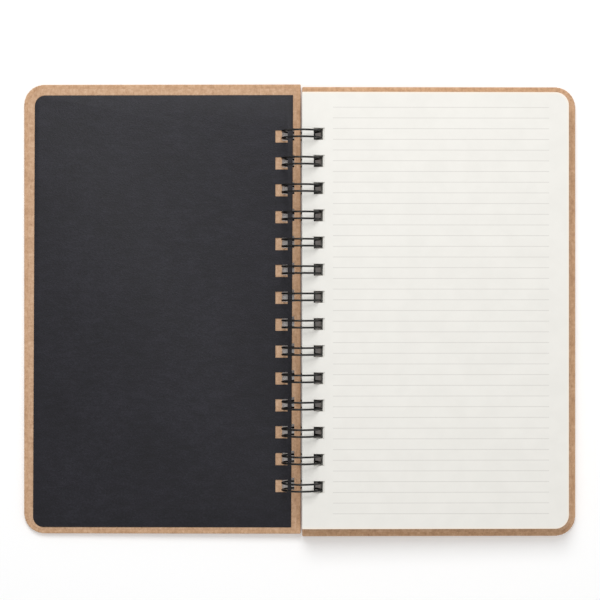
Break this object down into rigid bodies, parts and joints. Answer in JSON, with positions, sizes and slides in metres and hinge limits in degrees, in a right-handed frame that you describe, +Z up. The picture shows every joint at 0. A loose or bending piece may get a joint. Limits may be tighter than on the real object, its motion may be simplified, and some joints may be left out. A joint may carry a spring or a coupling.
{
  "type": "wire-bound notebook",
  "caption": "Wire-bound notebook lying open, with rounded kraft board covers, black card endsheets and ruled leaves that turn about a twin-loop wire binding.",
  "frame": {"origin": "on the table plane, under the middle of the rings, half way along the spine", "axes": "+X from the spine towards the back cover's fore edge, +Y along the spine towards the head, +Z up out of the open pages"},
  "size_m": [0.2611, 0.2136, 0.019],
  "materials": {
    "coated_wire": "glossy black nylon coating",
    "kraft_cover": "matt uncoated kraft paper",
    "kraft_lining": "matt uncoated kraft paper",
    "grey_board": "raw recycled board",
    "black_card": "matt toothed card",
    "ruled_paper": "smooth uncoated, faint grey rules"
  },
  "bodies": {
    "binding": {"wire_binding": "coated_wire"},
    "front_cover": {"front_wrap": "kraft_cover", "front_board": "grey_board", "front_lining": "kraft_lining"},
    "front_sheet": {"front_endsheet": "black_card"},
    "back_cover": {"back_wrap": "kraft_cover", "back_board": "grey_board", "back_lining": "kraft_lining"},
    "back_sheet": {"back_endsheet": "black_card"},
    "packet_1": {"packet_1": "ruled_paper"},
    "packet_2": {"packet_2": "ruled_paper"},
    "packet_3": {"packet_3": "ruled_paper"},
    "packet_4": {"packet_4": "ruled_paper"},
    "packet_5": {"packet_5": "ruled_paper"},
    "packet_6": {"packet_6": "ruled_paper"},
    "leaf_01": {"leaf_01": "ruled_paper"},
    "leaf_02": {"leaf_02": "ruled_paper"},
    "leaf_03": {"leaf_03": "ruled_paper"},
    "leaf_04": {"leaf_04": "ruled_paper"},
    "leaf_05": {"leaf_05": "ruled_paper"},
    "leaf_06": {"leaf_06": "ruled_paper"},
    "leaf_07": {"leaf_07": "ruled_paper"},
    "leaf_08": {"leaf_08": "ruled_paper"}
  },
  "joints": [
    {"name": "front_cover_turn", "type": "hinge", "parent": "binding", "child": "front_cover", "pos_m": [0, 0, 0.00952], "axis": [0, 1, 0], "range_deg": [-2.2, 181.56]},
    {"name": "front_sheet_turn", "type": "hinge", "parent": "front_cover", "child": "front_sheet", "pos_m": [0, 0, 0.00952], "axis": [0, 1, 0], "range_deg": [0, 180]},
    {"name": "back_cover_turn", "type": "hinge", "parent": "binding", "child": "back_cover", "pos_m": [0, 0, 0.00952], "axis": [0, -1, 0], "range_deg": [-2.2, 180]},
    {"name": "back_sheet_turn", "type": "hinge", "parent": "back_cover", "child": "back_sheet", "pos_m": [0, 0, 0.00952], "axis": [0, -1, 0], "range_deg": [0, 180]},
    {"name": "packet_6_turn", "type": "hinge", "parent": "back_sheet", "child": "packet_6", "pos_m": [0, 0, 0.00952], "axis": [0, -1, 0], "range_deg": [0, 180]},
    {"name": "packet_5_turn", "type": "hinge", "parent": "packet_6", "child": "packet_5", "pos_m": [0, 0, 0.00952], "axis": [0, -1, 0], "range_deg": [0, 180]},
    {"name": "packet_4_turn", "type": "hinge", "parent": "packet_5", "child": "packet_4", "pos_m": [0, 0, 0.00952], "axis": [0, -1, 0], "range_deg": [0, 180]},
    {"name": "packet_3_turn", "type": "hinge", "parent": "packet_4", "child": "packet_3", "pos_m": [0, 0, 0.00952], "axis": [0, -1, 0], "range_deg": [0, 180]},
    {"name": "packet_2_turn", "type": "hinge", "parent": "packet_3", "child": "packet_2", "pos_m": [0, 0, 0.00952], "axis": [0, -1, 0], "range_deg": [0, 180]},
    {"name": "packet_1_turn", "type": "hinge", "parent": "packet_2", "child": "packet_1", "pos_m": [0, 0, 0.00952], "axis": [0, -1, 0], "range_deg": [0, 180]},
    {"name": "leaf_08_turn", "type": "hinge", "parent": "packet_1", "child": "leaf_08", "pos_m": [0, 0, 0.00952], "axis": [0, -1, 0], "range_deg": [0, 180]},
    {"name": "leaf_07_turn", "type": "hinge", "parent": "leaf_08", "child": "leaf_07", "pos_m": [0, 0, 0.00952], "axis": [0, -1, 0], "range_deg": [0, 180]},
    {"name": "leaf_06_turn", "type": "hinge", "parent": "leaf_07", "child": "leaf_06", "pos_m": [0, 0, 0.00952], "axis": [0, -1, 0], "range_deg": [0, 180]},
    {"name": "leaf_05_turn", "type": "hinge", "parent": "leaf_06", "child": "leaf_05", "pos_m": [0, 0, 0.00952], "axis": [0, -1, 0], "range_deg": [0, 180]},
    {"name": "leaf_04_turn", "type": "hinge", "parent": "leaf_05", "child": "leaf_04", "pos_m": [0, 0, 0.00952], "axis": [0, -1, 0], "range_deg": [0, 180]},
    {"name": "leaf_03_turn", "type": "hinge", "parent": "leaf_04", "child": "leaf_03", "pos_m": [0, 0, 0.00952], "axis": [0, -1, 0], "range_deg": [0, 180]},
    {"name": "leaf_02_turn", "type": "hinge", "parent": "leaf_03", "child": "leaf_02", "pos_m": [0, 0, 0.00952], "axis": [0, -1, 0], "range_deg": [0, 180]},
    {"name": "leaf_01_turn", "type": "hinge", "parent": "leaf_02", "child": "leaf_01", "pos_m": [0, 0, 0.00952], "axis": [0, -1, 0], "range_deg": [0, 180]}
  ]
}
